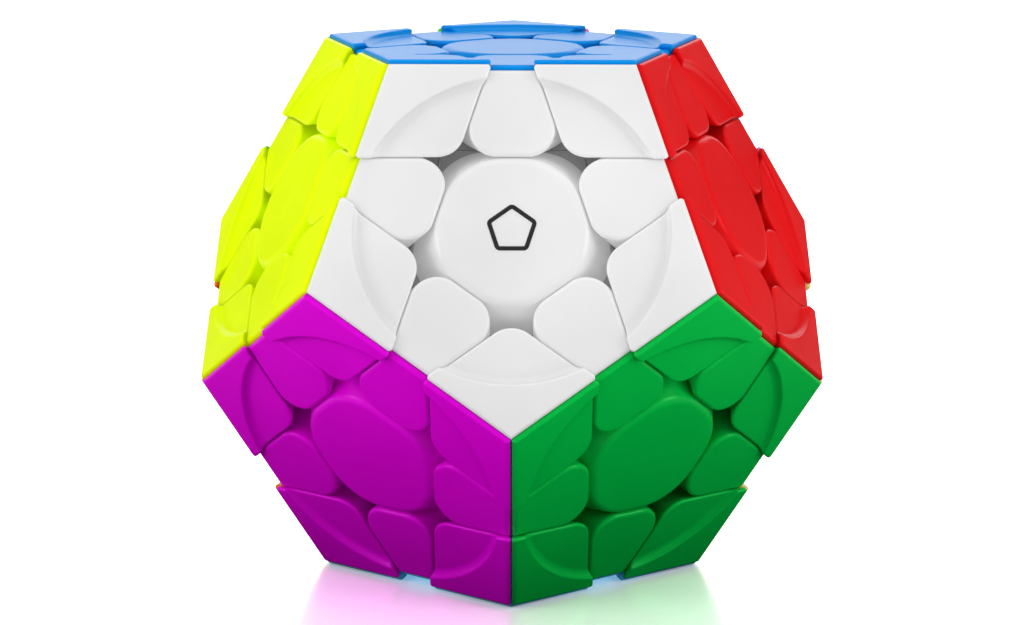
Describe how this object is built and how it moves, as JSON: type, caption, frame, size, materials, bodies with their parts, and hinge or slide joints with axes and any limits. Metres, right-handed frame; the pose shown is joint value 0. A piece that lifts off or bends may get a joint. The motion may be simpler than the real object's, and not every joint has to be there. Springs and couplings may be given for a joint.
{
  "type": "dodecahedron twisty puzzle",
  "caption": "Stickerless twelve-faced twisty puzzle: round-recessed pentagonal faces whose layers turn about a screwed core.",
  "frame": {"origin": "centre of the core, where the turning axes of all faces meet", "axes": "+Z is the turning axis of the upward (blue) face; -Y is the side of the white face, whose axis leans from -Y up towards +Z"},
  "size_m": [0.0934, 0.0982, 0.0802],
  "materials": {
    "blue": "moulded-in colour, glossy with a very fine satin grain",
    "white": "moulded-in colour, glossy with a very fine satin grain",
    "red": "moulded-in colour, glossy with a very fine satin grain",
    "pink": "moulded-in colour, glossy with a very fine satin grain",
    "lime": "moulded-in colour, glossy with a very fine satin grain",
    "yellow": "moulded-in colour, glossy with a very fine satin grain",
    "purple": "moulded-in colour, glossy with a very fine satin grain",
    "green": "moulded-in colour, glossy with a very fine satin grain",
    "cream": "moulded-in colour, glossy with a very fine satin grain",
    "gray": "moulded-in colour, glossy with a very fine satin grain",
    "orange": "moulded-in colour, glossy with a very fine satin grain",
    "sky": "moulded-in colour, glossy with a very fine satin grain",
    "foot_plastic": "black slippery moulding, satin",
    "base_plastic": "black slippery moulding, satin",
    "core_plastic": "dark grey moulding, satin",
    "screw_steel": "plated steel",
    "spring_steel": "drawn spring wire",
    "washer_steel": "stamped and plated"
  },
  "bodies": {
    "core": {"blue_tiles_core": "blue", "blue_center_cap": "blue", "red_tiles_core": "red", "red_center_cap": "red", "lime_tiles_core": "lime", "lime_center_cap": "lime", "yellow_tiles_core": "yellow", "yellow_center_cap": "yellow", "purple_tiles_core": "purple", "purple_center_cap": "purple", "green_tiles_core": "green", "green_center_cap": "green", "cream_tiles_core": "cream", "cream_center_cap": "cream", "gray_tiles_core": "gray", "gray_center_cap": "gray", "orange_tiles_core": "orange", "orange_center_cap": "orange", "core_center_bases": "base_plastic", "core_corner_feet": "foot_plastic", "core_edge_feet": "foot_plastic", "core_spider": "core_plastic", "tension_screws": "screw_steel", "tension_springs": "spring_steel", "spring_washers": "washer_steel"},
    "white_layer": {"white_corner_tiles": "white", "white_edge_tiles": "white", "white_center_cap": "white", "white_center_base": "base_plastic", "blue_tiles_white_layer": "blue", "red_tiles_white_layer": "red", "yellow_tiles_white_layer": "yellow", "purple_tiles_white_layer": "purple", "green_tiles_white_layer": "green", "white_corner_feet": "foot_plastic", "white_edge_feet": "foot_plastic"},
    "pink_layer": {"pink_corner_tiles": "pink", "pink_edge_tiles": "pink", "pink_center_cap": "pink", "pink_center_base": "base_plastic", "blue_tiles_pink_layer": "blue", "red_tiles_pink_layer": "red", "lime_tiles_pink_layer": "lime", "cream_tiles_pink_layer": "cream", "gray_tiles_pink_layer": "gray", "pink_corner_feet": "foot_plastic", "pink_edge_feet": "foot_plastic"},
    "sky_layer": {"sky_corner_tiles": "sky", "sky_edge_tiles": "sky", "sky_center_cap": "sky", "sky_center_base": "base_plastic", "purple_tiles_sky_layer": "purple", "green_tiles_sky_layer": "green", "cream_tiles_sky_layer": "cream", "gray_tiles_sky_layer": "gray", "orange_tiles_sky_layer": "orange", "sky_corner_feet": "foot_plastic", "sky_edge_feet": "foot_plastic"}
  },
  "joints": [
    {"name": "white_face_turn", "type": "hinge", "parent": "core", "child": "white_layer", "pos_m": [0, 0, 0], "axis": [0, -0.8944, 0.4472], "continuous": true},
    {"name": "pink_face_turn", "type": "hinge", "parent": "core", "child": "pink_layer", "pos_m": [0, 0, 0], "axis": [0.5257, 0.7236, 0.4472], "continuous": true},
    {"name": "sky_face_turn", "type": "hinge", "parent": "core", "child": "sky_layer", "pos_m": [0, 0, 0], "axis": [0, 0, -1], "continuous": true}
  ]
}
